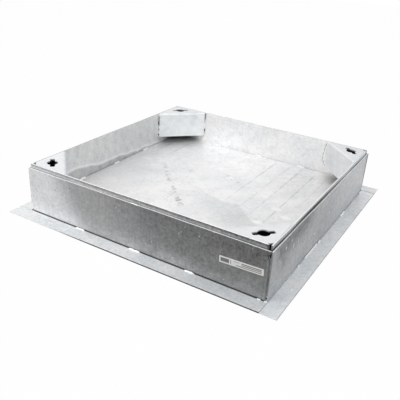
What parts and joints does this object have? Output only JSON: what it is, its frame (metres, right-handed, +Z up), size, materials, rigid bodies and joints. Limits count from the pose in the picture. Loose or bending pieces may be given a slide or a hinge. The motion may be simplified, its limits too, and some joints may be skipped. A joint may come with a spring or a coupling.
{
  "type": "recessed paving cover",
  "caption": "Square galvanised steel access cover: a deep open tray for block paving, with corner key boxes, seated in a welded frame with a flat foot.",
  "frame": {"origin": "middle of the frame's underside, on the ground", "axes": "+Z up, out of the open top of the tray; -Y is the front, the side with the sticker; +X to the right seen from the front"},
  "size_m": [0.7384, 0.7384, 0.1305],
  "materials": {
    "frame_zinc": "hot-dip galvanised steel sheet, soft mottled spangle with runs down the walls",
    "tray_zinc": "hot-dip galvanised steel sheet, bright and cloudy, with scuffs and handling marks",
    "label_paper": "blank self-adhesive sticker, slightly glossy"
  },
  "bodies": {
    "root": {"frame_side_front": "frame_zinc", "frame_side_right": "frame_zinc", "frame_side_back": "frame_zinc", "frame_side_left": "frame_zinc", "foot_bar_front": "frame_zinc", "foot_bar_right": "frame_zinc", "foot_bar_back": "frame_zinc", "foot_bar_left": "frame_zinc", "tray_wall_front": "tray_zinc", "tray_wall_right": "tray_zinc", "tray_wall_back": "tray_zinc", "tray_wall_left": "tray_zinc", "tray_floor": "tray_zinc", "stiffener_1": "tray_zinc", "stiffener_2": "tray_zinc", "stiffener_3": "tray_zinc", "stiffener_4": "tray_zinc", "stiffener_5": "tray_zinc", "stiffener_6": "tray_zinc", "stiffener_7": "tray_zinc", "key_box_front_left": "tray_zinc", "key_box_front_right": "tray_zinc", "key_box_back_right": "tray_zinc", "key_box_back_left": "tray_zinc", "label": "label_paper"}
  },
  "joints": []
}
